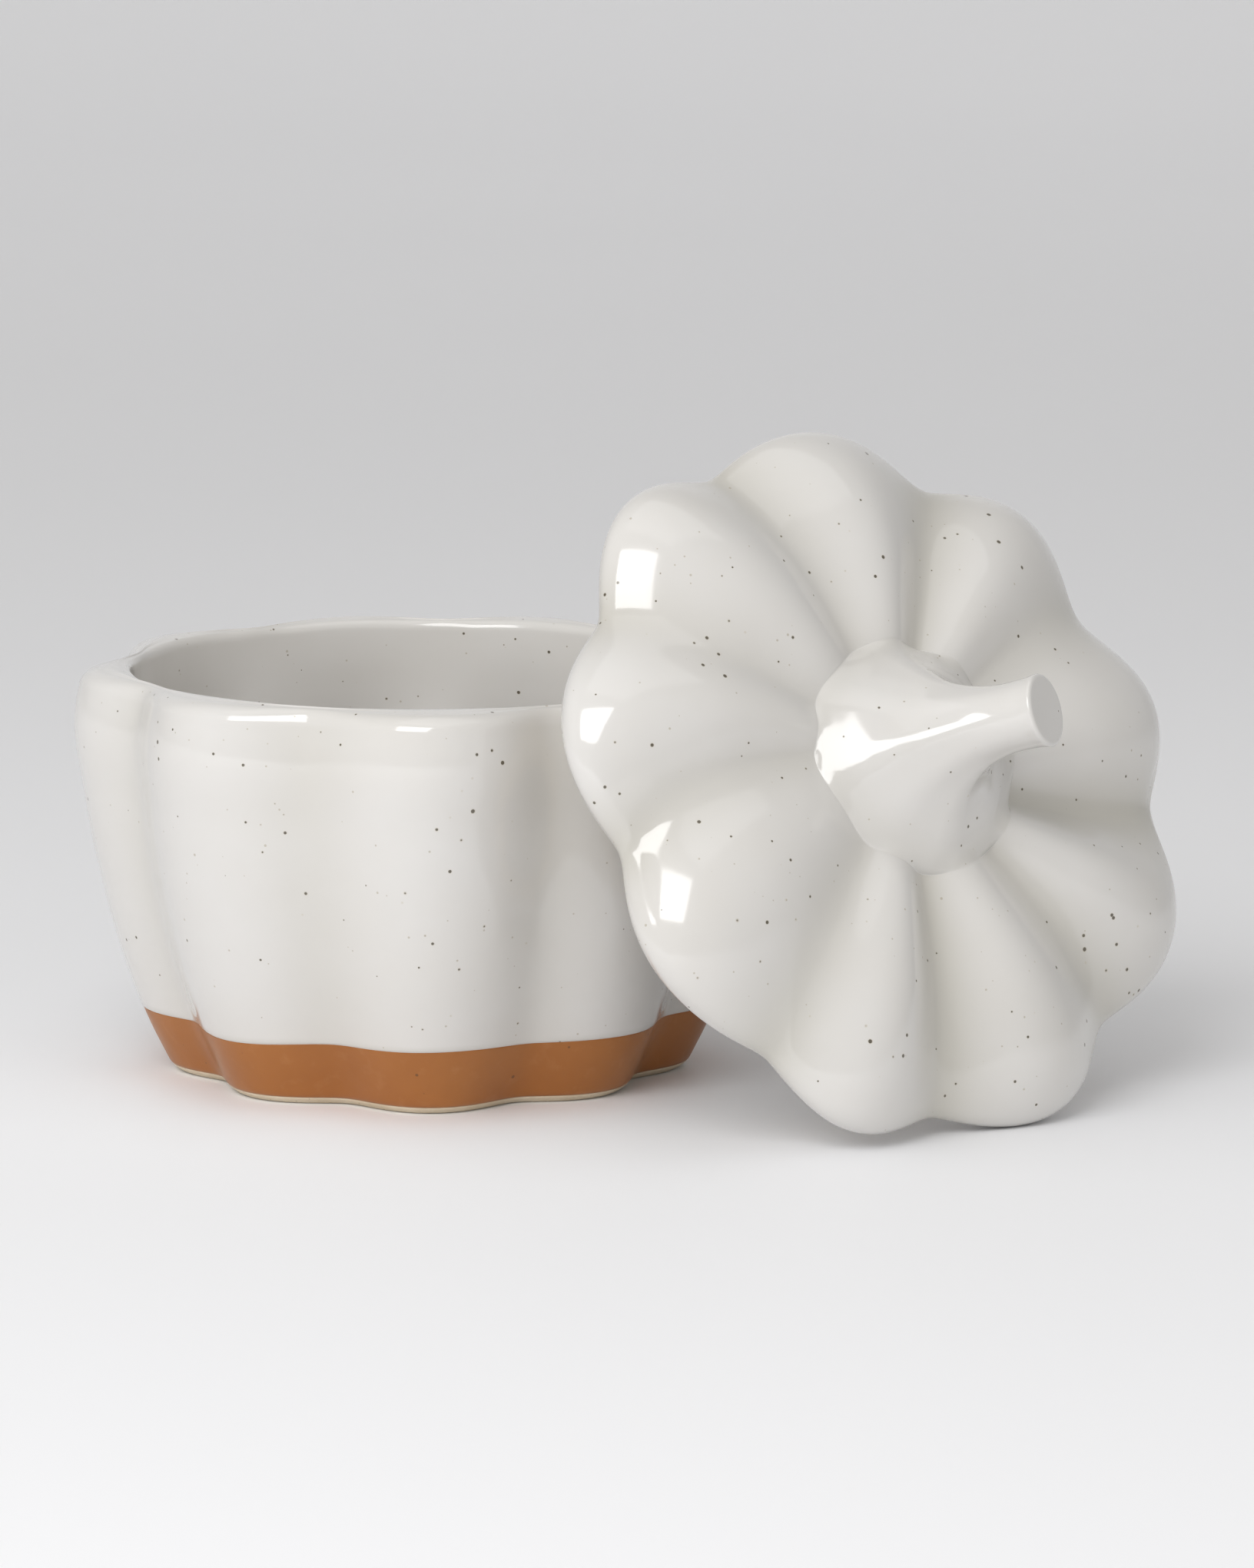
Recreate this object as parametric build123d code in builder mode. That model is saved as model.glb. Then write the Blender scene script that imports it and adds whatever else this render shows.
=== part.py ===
from build123d import *
import math
import os

# Lidded pumpkin dish in glazed stoneware: a nine-lobed bowl, and its loose nine-lobed lid leaning on the bowl's rim.
# Millimetres and degrees, +Z up. The origin is the centre of the foot face, where the bowl stands.

# ---- Bowl: driving dimensions -------------------------------------------------------------------------------
BOWL_HEIGHT = 87.4
GLAZE_LINE = 14.0             # height of the border between the white glaze and the brown foot band
FOOT_RING_HEIGHT = 1.6
FLOOR_TOP = 6.5               # inside floor
WALL = 6.0
MOUTH_RADIUS = 62.75          # the rolled-in lip is round inside
BAND_STEP = 0.5               # the casting is this much smaller under the brown band
BAND_THICKNESS = 0.35

# Crest of the lobes: (height, radius). The wall leans out from the foot to a shoulder just below the lip.
WALL_PROFILE = ((0.0, 54.4), (10.5, 59.6), (26.2, 65.4), (43.7, 70.0), (61.2, 73.2), (76.9, 75.0), (87.4, 73.1))
# Depth of the valleys between the lobes: (height, depth).
VALLEY_DEPTH = ((0.0, 5.7), (43.7, 5.4), (87.4, 7.4))
BOWL_SOFTNESS = 0.45          # 0 gives knife-sharp valleys, larger is rounder
CAVITY_SOFTNESS = 0.6

# The bowl is hand finished, so its nine valleys are unevenly spaced. Angles run from -Y towards +X.
BOWL_VALLEYS = (-62, -20, 24, 65, 107, 141, 178, 217, 257)
# How far the lobe after each valley stands out from the mean.
BOWL_LOBE_EXTRA = (-0.3, 1.4, -0.4, 1.0, 0.0, 0.3, -0.5, 0.2, 0.3)

LIP_DEPTH = 3.5               # height of the lip's outer rounding
LIP_WIDTH = 4.0               # and its greatest width
MOUTH_ROUND = 2.0             # rounding of the lip's inner edge

# Inside of the bowl, from the floor up: (height, inset from the wall's outside, how far the section is round).
CAVITY_SECTIONS = (
    (FLOOR_TOP, WALL + 10.0, 0.0),
    (FLOOR_TOP + 1.0, WALL + 5.5, 0.0),
    (FLOOR_TOP + 4.0, WALL + 2.5, 0.0),
    (FLOOR_TOP + 10.0, WALL + 0.5, 0.0),
    (26.2, WALL, 0.0),
    (43.7, WALL, 0.05),
    (61.2, WALL, 0.35),
    (71.0, WALL + 0.3, 0.78),
    (79.0, WALL, 0.97),
    (83.5, WALL, 1.0),
)

# ---- Foot ring ------------------------------------------------------------------------------------------------
RING_TOP_INSET = 0.5          # the ring's top edge, from the lobed outline
RING_FOOT_INSET = 1.8         # its bevelled lower edge
RING_WIDTH = 8.0

# Heights at which the outside is drawn: the brown-banded foot, then the white wall below the lip.
FOOT_HEIGHTS = (FOOT_RING_HEIGHT, 6.0, 10.5, GLAZE_LINE)
WALL_HEIGHTS = (GLAZE_LINE, 26.2, 43.7, 61.2, 76.9, BOWL_HEIGHT - LIP_DEPTH)

# ---- Lid: driving dimensions, in the lid's own frame --------------------------------------------------------------
# The seat plane is the lid's z = 0, and its z runs out of the top. Rings run from the seat edge to the stem root.
DOME_CREST = ((73.7, 0.0), (77.4, 3.9), (76.9, 9.3), (67.4, 16.3), (50.5, 20.6), (31.6, 19.8), (14.7, 15.6))
DOME_VALLEY = ((69.0, 0.0), (71.6, 3.1), (70.0, 6.6), (61.1, 10.9), (47.4, 14.0), (30.5, 15.2), (14.7, 15.6))
DOME_STATIONS = (0.0, 0.12, 0.28, 0.46, 0.64, 0.82, 1.0)
LID_EDGE_SOFTNESS = 0.2     # the valleys are crisp at the edge
LID_INNER_SOFTNESS = 0.7      # and round near the stem

# Valleys at the edge, anticlockwise from the lid's x axis, and how far each one bends on its way to the stem.
LID_VALLEYS = (-11.9, 23.4, 60.1, 105.5, 144.2, 186.3, 228.1, 261.7, 304.3)
LID_VALLEY_BEND = (-14.2, 9.3, 5.2, -4.1, -2.8, -18.2, -5.2, -1.7, 1.5)
LID_VALLEY_EXTRA = (-0.9, -1.4, 0.3, 0.3, 0.7, 1.9, -0.9, -1.4, 0.3)
LID_LOBE_EXTRA = (0.5, 0.6, -1.2, 0.6, 0.3, -0.2, 2.0, 0.6, -0.6)
# How much of each valley has gone by the time it reaches the stem.
LID_VALLEY_FADE = (0.0, 0.35, 0.1, 0.35, 0.5, 0.35, 0.3, 0.0, 0.15)
BEND_START = 0.3              # share of the way to the stem where the valleys begin to bend
EXTRA_FADE = 0.6              # share of the way over which the lobes' differences die out

# Hollow underside, turned about the lid's axis: (radius, height) from its mouth to its middle.
HOLLOW_PROFILE = ((54.0, 0.0), (51.5, 4.4), (44.0, 7.8), (30.0, 9.6), (0.0, 10.2))

FLANGE_RADIUS = 59.5
FLANGE_WIDTH = 4.0
FLANGE_DROP = 6.4
FLANGE_CHAMFER = 1.0

# Stem: centre, height, lean, radius and how far the section is cornered rather than round, root first.
STEM_SECTIONS = (
    (1.6, 0.8, 11.0, 0.0, 26.0, 0.3),
    (1.7, 0.8, 17.0, 1.0, 25.4, 0.5),
    (2.0, 0.9, 21.0, 4.0, 21.0, 0.8),
    (2.6, 1.1, 24.5, 8.0, 16.6, 0.85),
    (3.8, 1.2, 28.8, 13.0, 12.0, 0.55),
    (6.2, 1.1, 33.5, 19.0, 8.9, 0.25),
    (9.2, 0.6, 38.5, 23.0, 7.4, 0.05),
    (12.2, -0.1, 43.5, 26.0, 7.3, 0.0),
    (13.7, -0.6, 46.3, 26.0, 7.7, 0.0),
    (14.0, -0.7, 47.0, 26.0, 6.9, 0.0),
)
STEM_HEADING = -19.0          # direction of the lean
# Corners of the stem's section: (direction, share of the radius).
STEM_CORNERS = ((-134, 0.9), (-92, 1.0), (-48, 0.97), (-9, 1.0), (42, 1.0), (88, 1.02), (141, 1.0), (186, 1.0))
CORNER_ROUNDING = (-9, -6, -3, 0, 3, 6, 9)

# ---- Where the lid leans ------------------------------------------------------------------------------------------
LID_CENTRE = (91.7, -43.0, 66.95)
LID_AZIMUTH = 38.3            # the lid faces this far round from -Y towards +X
LID_ELEVATION = 26.7          # and this far above level

# Places across one lobe, from its valley to the next, where the outlines have points.
LOBE_STEPS = (0.0, 0.05, 0.13, 0.25, 0.4, 0.6, 0.75, 0.87, 0.95)


def between(table, value):
    """Value of a (position, value) table at a position, straight between its entries."""
    for (x0, y0), (x1, y1) in zip(table, table[1:]):
        if value <= x1:
            return y0 + (y1 - y0) * (value - x0) / (x1 - x0)
    return table[-1][1]


def lobe_wave(u, softness):
    """Height of a lobe across its width: 0 in the valleys, at u = 0 and 1, and 1 on its crest."""
    s = math.sin(math.pi * u)
    return (math.hypot(s, softness) - softness) / (math.hypot(1, softness) - softness)


def lobe_places(valleys):
    """Every (lobe, u, angle) of an outline, given the valleys' angles in degrees."""
    following = valleys[1:] + (valleys[0] + 360,)
    for lobe, (start, end) in enumerate(zip(valleys, following)):
        for u in LOBE_STEPS:
            yield lobe, u, math.radians(start + u * (end - start))


def bowl_radius(height, lobe, u, softness):
    """Outside radius of the bowl's wall."""
    valley = between(VALLEY_DEPTH, height) * (1 - lobe_wave(u, softness))
    extra = BOWL_LOBE_EXTRA[lobe] * math.sin(math.pi * u) ** 2
    return between(WALL_PROFILE, height) - valley + extra


def lip_share(height):
    """How far the lip's outer rounding has come in at a height: 0 below it, 1 at the top."""
    rise = max(0.0, 1 - (BOWL_HEIGHT - height) / LIP_DEPTH)
    return 1 - math.sqrt(1 - rise**2)


def bowl_outline(height, inset=0.0):
    """Points round the bowl's outside at a height."""
    points = []
    for lobe, u, angle in lobe_places(BOWL_VALLEYS):
        radius = bowl_radius(height, lobe, u, BOWL_SOFTNESS)
        lip = min(LIP_WIDTH, (radius - MOUTH_RADIUS) / 2)
        radius -= inset + lip * lip_share(height)
        points.append((radius * math.sin(angle), -radius * math.cos(angle)))
    return points


def cavity_outline(height, inset, roundness, flare=0.0):
    """Points round the inside of the bowl, with flare as a share of the mouth's rounding."""
    points = []
    for lobe, u, angle in lobe_places(BOWL_VALLEYS):
        lip_room = bowl_radius(BOWL_HEIGHT, lobe, u, BOWL_SOFTNESS) - MOUTH_RADIUS
        mouth = MOUTH_RADIUS + flare * min(MOUTH_ROUND, 0.35 * lip_room)
        lobed = bowl_radius(height, lobe, u, CAVITY_SOFTNESS) - inset
        radius = lobed + (mouth - lobed) * roundness
        points.append((radius * math.sin(angle), -radius * math.cos(angle)))
    return points


lean = math.radians(LID_ELEVATION)
facing = math.radians(LID_AZIMUTH)
lid_plane = Plane(
    origin=LID_CENTRE,
    x_dir=(math.cos(facing), math.sin(facing), 0),
    z_dir=(math.sin(facing) * math.cos(lean), -math.cos(facing) * math.cos(lean), math.sin(lean)),
)


def lid_point(x, y, z):
    """A point of the lid's own frame, in the row's frame."""
    return lid_plane.from_local_coords(Vector(x, y, z))


def lid_direction(x, y, z):
    """A direction of the lid's own frame, in the row's frame."""
    return lid_point(x, y, z) - lid_plane.origin


def cornered(angle):
    """Radius of the stem's rounded many-sided outline in a direction, as a share of its full radius."""
    start = STEM_CORNERS[0][0]
    following = STEM_CORNERS[1:] + ((start + 360, STEM_CORNERS[0][1]),)
    total = 0.0
    for offset in CORNER_ROUNDING:
        place = (angle + offset - start) % 360 + start
        for (a0, r0), (a1, r1) in zip(STEM_CORNERS, following):
            if a0 <= place < a1:
                past = math.sin(math.radians(place - a0))
                ahead = math.sin(math.radians(a1 - place))
                total += r0 * r1 * math.sin(math.radians(a1 - a0)) / (r0 * past + r1 * ahead)
    return total / len(CORNER_ROUNDING)


def smoothstep(low, high, x):
    t = min(max((x - low) / (high - low), 0.0), 1.0)
    return t * t * (3 - 2 * t)


def lid_ring(crest, valley, share):
    """Closed curve round the lid. Share is 0 at the seat's edge and 1 at the stem root."""
    bend = max(0.0, (share - BEND_START) / (1 - BEND_START))
    fade = min(1.0, (1 - share) / EXTRA_FADE)
    valleys = tuple(v + b * bend for v, b in zip(LID_VALLEYS, LID_VALLEY_BEND))
    softness = LID_EDGE_SOFTNESS + (LID_INNER_SOFTNESS - LID_EDGE_SOFTNESS) * smoothstep(0.08, 0.6, share)
    points = []
    for lobe, u, angle in lobe_places(valleys):
        near_next = math.sin(math.pi * u / 2) ** 2
        wave = lobe_wave(u, softness)
        gone = LID_VALLEY_FADE[lobe] * (1 - near_next) + LID_VALLEY_FADE[(lobe + 1) % 9] * near_next
        wave += (1 - wave) * gone * smoothstep(0.12, 0.7, share)
        deeper = LID_VALLEY_EXTRA[lobe] * (1 - near_next) + LID_VALLEY_EXTRA[(lobe + 1) % 9] * near_next
        extra = LID_LOBE_EXTRA[lobe] * math.sin(math.pi * u) ** 2 - deeper * (1 - wave)
        radius = valley[0] + (crest[0] - valley[0]) * wave + fade * extra
        height = valley[1] + (crest[1] - valley[1]) * wave
        points.append(lid_point(radius * math.cos(angle), radius * math.sin(angle), height))
    return Wire([Edge.make_spline(points, periodic=True)])


def dome():
    """Everything under the lid's outer surface, down to the seat plane."""
    return Solid.make_loft([lid_ring(*ring) for ring in zip(DOME_CREST, DOME_VALLEY, DOME_STATIONS)])


# ---- Bowl ---------------------------------------------------------------------------------------------------------
with BuildPart() as bowl_casting:
    # White-glazed wall from the glaze line up, then the lip's outer rounding.
    for height in WALL_HEIGHTS:
        with BuildSketch(Plane.XY.offset(height)):
            with BuildLine():
                Spline(*bowl_outline(height), periodic=True)
            make_face()
    loft()
    for drop in (1.0, 0.46, 0.15, 0.03, 0.0):
        height = BOWL_HEIGHT - LIP_DEPTH * drop
        with BuildSketch(Plane.XY.offset(height)):
            with BuildLine():
                Spline(*bowl_outline(height), periodic=True)
            make_face()
    loft(ruled=True)
    # Lower wall, a step smaller to take the brown band.
    for height in FOOT_HEIGHTS:
        with BuildSketch(Plane.XY.offset(height)):
            with BuildLine():
                Spline(*bowl_outline(height, BAND_STEP), periodic=True)
            make_face()
    loft()
    # The inside, from the floor up through the mouth.
    for height, inset, roundness in CAVITY_SECTIONS:
        with BuildSketch(Plane.XY.offset(height)):
            with BuildLine():
                Spline(*cavity_outline(height, inset, roundness), periodic=True)
            make_face()
    for rise, flare in ((-1.5, 0.1), (0.0, 1.0), (1.0, 1.8)):
        height = BOWL_HEIGHT + rise
        with BuildSketch(Plane.XY.offset(height)):
            with BuildLine():
                Spline(*cavity_outline(height, WALL, 1.0, flare), periodic=True)
            make_face()
    loft(ruled=True, mode=Mode.SUBTRACT)
bowl_casting.part.label = "bowl_casting"

with BuildPart() as foot_band_glaze:
    for inset, mode in ((BAND_STEP - BAND_THICKNESS, Mode.ADD), (BAND_STEP, Mode.SUBTRACT)):
        for height in FOOT_HEIGHTS:
            with BuildSketch(Plane.XY.offset(height)):
                with BuildLine():
                    Spline(*bowl_outline(height, inset), periodic=True)
                make_face()
        loft(mode=mode)
foot_band_glaze.part.label = "foot_band_glaze"

with BuildPart() as foot_ring:
    for height, inset in ((0.0, RING_FOOT_INSET), (FOOT_RING_HEIGHT, RING_TOP_INSET)):
        with BuildSketch(Plane.XY.offset(height)):
            with BuildLine():
                Spline(*bowl_outline(height, inset), periodic=True)
            make_face()
    loft()
    with BuildSketch():
        with BuildLine():
            Spline(*cavity_outline(0.0, RING_WIDTH, 0.0), periodic=True)
        make_face()
    extrude(amount=FOOT_RING_HEIGHT, mode=Mode.SUBTRACT)
foot_ring.part.label = "foot_ring"

# ---- Lid ----------------------------------------------------------------------------------------------------------
with BuildPart() as lid_casting:
    add(dome())
    # The underside is hollowed round, as a turned mould leaves it.
    with BuildSketch(Plane(origin=lid_plane.origin, x_dir=lid_plane.x_dir, z_dir=-lid_plane.y_dir)):
        with BuildLine():
            hollow_top = Spline(*HOLLOW_PROFILE, tangents=((-0.25, 1), (-1, 0)))
            Polyline(hollow_top @ 1, (0, -1), (HOLLOW_PROFILE[0][0], -1), hollow_top @ 0)
        make_face()
    revolve(axis=Axis(lid_plane.origin, lid_plane.z_dir), mode=Mode.SUBTRACT)
lid_casting.part.label = "lid_casting"

with BuildPart() as seat_flange:
    with BuildSketch(lid_plane):
        Circle(FLANGE_RADIUS)
        Circle(FLANGE_RADIUS - FLANGE_WIDTH, mode=Mode.SUBTRACT)
    extrude(amount=-FLANGE_DROP)
    chamfer(seat_flange.faces().sort_by(Axis(lid_plane.origin, lid_plane.z_dir))[0].edges(), FLANGE_CHAMFER)
seat_flange.part.label = "seat_flange"

with BuildPart() as stem_handle:
    heading = math.radians(STEM_HEADING)
    for x, y, z, tilt, full_radius, facets in STEM_SECTIONS:
        tip = math.radians(tilt)
        axis = lid_direction(math.sin(tip) * math.cos(heading), math.sin(tip) * math.sin(heading), math.cos(tip))
        across = lid_direction(1, 0, 0)
        across -= axis * across.dot(axis)
        with BuildSketch(Plane(origin=lid_point(x, y, z), x_dir=across, z_dir=axis)):
            with BuildLine():
                outline = []
                for direction in range(180, 540, 15):
                    radius = full_radius * (1 + facets * (cornered(direction) - 1))
                    angle = math.radians(direction)
                    outline.append((radius * math.cos(angle), radius * math.sin(angle)))
                Spline(*outline, periodic=True)
            make_face()
    loft()
    # The stem's root is shaped to the dome it is luted on.
    add(dome(), mode=Mode.SUBTRACT)
stem_handle.part.label = "stem_handle"

# ---- Files --------------------------------------------------------------------------------------------------------
os.makedirs("parts", exist_ok=True)
export_step(bowl_casting.part, "parts/bowl_casting.step")
export_step(foot_band_glaze.part, "parts/foot_band_glaze.step")
export_step(foot_ring.part, "parts/foot_ring.step")
export_step(lid_casting.part, "parts/lid_casting.step")
export_step(seat_flange.part, "parts/seat_flange.step")
export_step(stem_handle.part, "parts/stem_handle.step")
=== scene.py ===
import math

import bmesh
import bpy
import numpy as np
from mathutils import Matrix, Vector


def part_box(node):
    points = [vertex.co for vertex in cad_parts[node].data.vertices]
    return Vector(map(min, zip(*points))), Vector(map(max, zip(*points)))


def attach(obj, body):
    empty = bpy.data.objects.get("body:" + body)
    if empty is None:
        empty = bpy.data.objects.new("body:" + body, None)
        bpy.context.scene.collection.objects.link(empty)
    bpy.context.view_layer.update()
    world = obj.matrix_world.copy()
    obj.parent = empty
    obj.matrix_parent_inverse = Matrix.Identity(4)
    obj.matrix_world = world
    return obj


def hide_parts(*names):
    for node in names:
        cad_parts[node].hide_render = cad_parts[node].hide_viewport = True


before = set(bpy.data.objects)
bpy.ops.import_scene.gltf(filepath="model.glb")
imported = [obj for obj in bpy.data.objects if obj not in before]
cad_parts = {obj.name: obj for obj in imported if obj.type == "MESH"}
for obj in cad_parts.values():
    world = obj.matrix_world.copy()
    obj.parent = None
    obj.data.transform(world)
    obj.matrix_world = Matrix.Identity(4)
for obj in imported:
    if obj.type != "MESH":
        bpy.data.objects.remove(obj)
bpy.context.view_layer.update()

# Lidded pumpkin dish. Shapes are worked out in millimetres, and turned to metres when a mesh is made.
MM = 0.001


def top_of(node):
    """Height of a CAD node's highest point."""
    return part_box(node)[1][2] / MM


# ---- Bowl dimensions -----------------------------------------------------------------------------
BOWL_HEIGHT = top_of("bowl_casting")
GLAZE_LINE = top_of("foot_band_glaze")
FOOT_RING_HEIGHT = top_of("foot_ring")
FLOOR_TOP = 6.5
MOUTH_RADIUS = 62.75
# Radius of the outside on the lobes' crests: (height, radius).
WALL_PROFILE = (
    (0.0, 54.4), (10.5, 59.6), (26.2, 65.4), (43.7, 70.0), (61.2, 73.2), (76.9, 75.0), (87.4, 73.1),
)
VALLEY_DEPTH = ((0.0, 5.7), (43.7, 5.4), (87.4, 7.4))                # (height, depth)
BOWL_VALLEYS = (-62, -20, 24, 65, 107, 141, 178, 217, 257)           # degrees from the front, towards +X
BOWL_LOBE_EXTRA = (-0.3, 1.4, -0.4, 1.0, 0.0, 0.3, -0.5, 0.2, 0.3)   # how far each lobe stands out
BOWL_SOFTNESS = 0.45      # 0 would make sharp valleys
CAVITY_SOFTNESS = 0.6
LIP_DEPTH = 3.5           # height of the lip's outer rounding
LIP_WIDTH = 4.0           # width of the lip's outer rounding
LIP_CROWN = 0.35
LIP_DIP = 0.5             # the lip is this much lower at the valleys
MOUTH_ROUND = 2.0         # width of the lip's inner rounding
MOUTH_ROUND_SHARE = 0.35  # where the lip is narrow, the inner rounding takes this share of it
MOUTH_ROUND_DEPTH = 2.2
WALL_START = 1.6          # first ring of the white wall above the glaze line,
WALL_END = 1.0            # last ring below the lip,
WALL_RINGS = 44           # and how many there are
BOWL_POOL_AND_SHADE = 0.35          # the bowl's valleys darken less than the lid's: pooling glaze tint and painted shade
# Wall thickness, and how far the inside has turned from lobed to round: (height, value).
CAVITY_INSET = ((6.5, 16.0), (7.5, 11.5), (10.5, 8.5), (16.5, 6.5), (26.2, 6.0), (71.0, 6.3), (87.4, 6.0))
CAVITY_ROUNDNESS = (
    (6.5, 0.0), (26.2, 0.0), (43.7, 0.05), (61.2, 0.35),
    (71.0, 0.78), (79.0, 0.97), (83.5, 1.0), (87.4, 1.0),
)

# ---- Glaze line and foot -------------------------------------------------------------------------
BAND_STEP = 0.5           # the wall behind the brown coat is this far inside the white glaze
BAND_THICKNESS = 0.35
BAND_OVERLAP = 0.25       # the brown coat runs this far up under the white edge
BAND_EDGE_ROUND = 0.3
GLAZE_BULGE = 0.08        # the white glaze is thickest at its edge
GLAZE_EDGE_HEIGHT = 0.7
GLAZE_BULGE_FADE = 1.5
GLAZE_EDGE_POOL = 0.35
GLAZE_WAVES = ((0.35, 2, 0.6), (0.22, 5, 2.0), (0.12, 11, 0.0))      # (height, waves in a turn, start)
FOOT_RING_WIDTH = 8.0
# Foot ring's outside and inside, from the wall's foot: (height, inset).
FOOT_RING_OUTSIDE = (
    (1.6, 0.5), (1.35, 0.42), (1.0, 0.6), (0.6, 0.95), (0.25, 1.35), (0.06, 1.7), (0.0, 2.1),
)
FOOT_RING_INSIDE = ((0.0, -0.5), (0.12, -0.12), (0.5, 0.0), (1.6, 0.0))

# ---- Lid dimensions, in the lid's own frame ------------------------------------------------------
LID_CENTRE = np.array((91.7, -43.0, 66.95))
LID_AZIMUTH = math.radians(38.3)
LID_ELEVATION = math.radians(26.7)
# (radius, height) along a lobe's crest and along a valley, at shares of the way from the seat's edge
# to the root of the stem.
DOME_STATIONS = (0.0, 0.12, 0.28, 0.46, 0.64, 0.82, 1.0)
DOME_CREST = ((73.7, 0.0), (77.4, 3.9), (76.9, 9.3), (67.4, 16.3), (50.5, 20.6), (31.6, 19.8), (14.7, 15.6))
DOME_VALLEY = ((69.0, 0.0), (71.6, 3.1), (70.0, 6.6), (61.1, 10.9), (47.4, 14.0), (30.5, 15.2), (14.7, 15.6))
DOME_EDGE = 0.04          # the share of the way at which the rounded lower edge starts
LID_VALLEYS = (-11.9, 23.4, 60.1, 105.5, 144.2, 186.3, 228.1, 261.7, 304.3)
LID_VALLEY_BEND = (-14.2, 9.3, 5.2, -4.1, -2.8, -18.2, -5.2, -1.7, 1.5)    # turn of each towards the stem
LID_VALLEY_EXTRA = (-0.9, -1.4, 0.3, 0.3, 0.7, 1.9, -0.9, -1.4, 0.3)       # extra depth of each valley
LID_LOBE_EXTRA = (0.5, 0.6, -1.2, 0.6, 0.3, -0.2, 2.0, 0.6, -0.6)          # how far each lobe stands out
LID_VALLEY_FADE = (0.0, 0.35, 0.1, 0.35, 0.5, 0.35, 0.3, 0.0, 0.15)        # share of each gone at the stem
BEND_START = 0.3
EXTRA_FADE = 0.6
LID_EDGE_SOFTNESS = 0.2   # the valleys are crisp at the edge,
LID_INNER_SOFTNESS = 0.7  # and rounder towards the stem
SOFTNESS_CHANGE = (0.08, 0.6)
VALLEY_FADE_RANGE = (0.12, 0.7)
SEAT_EDGE_ROUND = 1.3
SEAT_EDGE_INSET = 0.25
# Hollow underside, thrown round: (share of the way in, radius, height).
HOLLOW_PROFILE = (
    (0.0, 54.0, 0.0), (0.06, 53.7, 1.2), (0.22, 51.5, 4.4),
    (0.42, 44.0, 7.8), (0.72, 30.0, 9.6), (1.0, 10.0, 10.15),
)
HOLLOW_MOUTH = HOLLOW_PROFILE[0][1]
FLANGE_RADIUS = 59.5
FLANGE_WIDTH = 4.0
FLANGE_DROP = 6.4
FLANGE_ROUND = 1.1
FLANGE_WALL_POINT = -2.0  # height of a ring part of the way down its walls

# ---- Stem dimensions, in the lid's own frame -----------------------------------------------------
# Sections from the root to the end: (x, y, height, tilt, full radius, share of the corners that shows).
STEM_SECTIONS = (
    (1.6, 0.8, 11.0, 0.0, 26.0, 0.3),
    (1.7, 0.8, 17.0, 1.0, 25.4, 0.5),
    (2.0, 0.9, 21.0, 4.0, 21.0, 0.8),
    (2.6, 1.1, 24.5, 8.0, 16.6, 0.9),
    (3.8, 1.2, 28.8, 13.0, 12.0, 0.85),
    (6.2, 1.1, 33.5, 19.0, 8.9, 0.6),
    (9.2, 0.6, 38.5, 23.0, 7.4, 0.2),
    (12.2, -0.1, 43.5, 26.0, 7.3, 0.0),
    (13.7, -0.6, 46.3, 26.0, 7.7, 0.0),
)
STEM_HEADING = math.radians(-19.0)
# Corners of the stem's section, at its root and higher up: (direction, share of the radius).
FRONT_CORNERS = ((-134, 0.9), (-92, 1.0), (-48, 0.97), (-9, 1.0), (42, 1.0), (88, 1.02))
ROOT_CORNERS = (*FRONT_CORNERS, (141, 1.0), (186, 1.0))
NECK_CORNERS = (*FRONT_CORNERS, (136, 0.86), (182, 1.0))
CORNER_CHANGE = (20.5, 29.0)     # heights between which the one turns into the other
CORNER_ROUNDING = (-9, -6, -3, 0, 3, 6, 9)
ROOT_FILLET = 2.5
ROOT_SUNK = 0.4                  # the root's first ring lies this far inside the dome
ROOT_TOP = 30.0                  # above this height the stem is clear of the dome
ROOT_POOL_AND_SHADE = (0.35, 18.0, 3.0)    # darker round the root, partly pooling glaze, partly painted shade in the crease: (amount, height, spread)
STEM_EDGE_ROUND = 0.9
STEM_EDGE_HEIGHT = 0.8           # as a share of its width
STEM_END_DISH = 0.15

COLUMNS_PER_LOBE = 44


# ---- Outline formulas ----------------------------------------------------------------------------
def smooth(table, x):
    """Smooth curve through a (position, value, ...) table that never overshoots its entries."""
    table = np.array(table, float)
    xs, ys = table[:, 0], table[:, 1:]
    step = np.diff(xs)[:, None]
    slope = np.diff(ys, axis=0) / step
    same_way = slope[1:] * slope[:-1] > 0
    total = np.where(same_way, slope[1:] + slope[:-1], 1.0)
    inner = np.where(same_way, 2 * slope[1:] * slope[:-1] / total, 0.0)
    tangent = np.vstack([slope[:1], inner, slope[-1:]])
    x = np.atleast_1d(np.asarray(x, float))
    k = np.clip(np.searchsorted(xs, x, side="right") - 1, 0, len(xs) - 2)
    h = step[k]
    t = ((x - xs[k])[:, None] / h).clip(0, 1)
    value = (2 * t**3 - 3 * t**2 + 1) * ys[k] + (t**3 - 2 * t**2 + t) * h * tangent[k]
    value += (3 * t**2 - 2 * t**3) * ys[k + 1] + (t**3 - t**2) * h * tangent[k + 1]
    return value


def flowing(table, x):
    """Smooth curve through a table, free to swell between its entries."""
    table = np.array(table, float)
    xs, ys = table[:, 0], table[:, 1:]
    tangent = np.gradient(ys, xs, axis=0)
    x = np.atleast_1d(np.asarray(x, float))
    k = np.clip(np.searchsorted(xs, x, side="right") - 1, 0, len(xs) - 2)
    h = np.diff(xs)[k][:, None]
    t = ((x - xs[k])[:, None] / h).clip(0, 1)
    value = (2 * t**3 - 3 * t**2 + 1) * ys[k] + (t**3 - 2 * t**2 + t) * h * tangent[k]
    value += (3 * t**2 - 2 * t**3) * ys[k + 1] + (t**3 - t**2) * h * tangent[k + 1]
    return value


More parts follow.
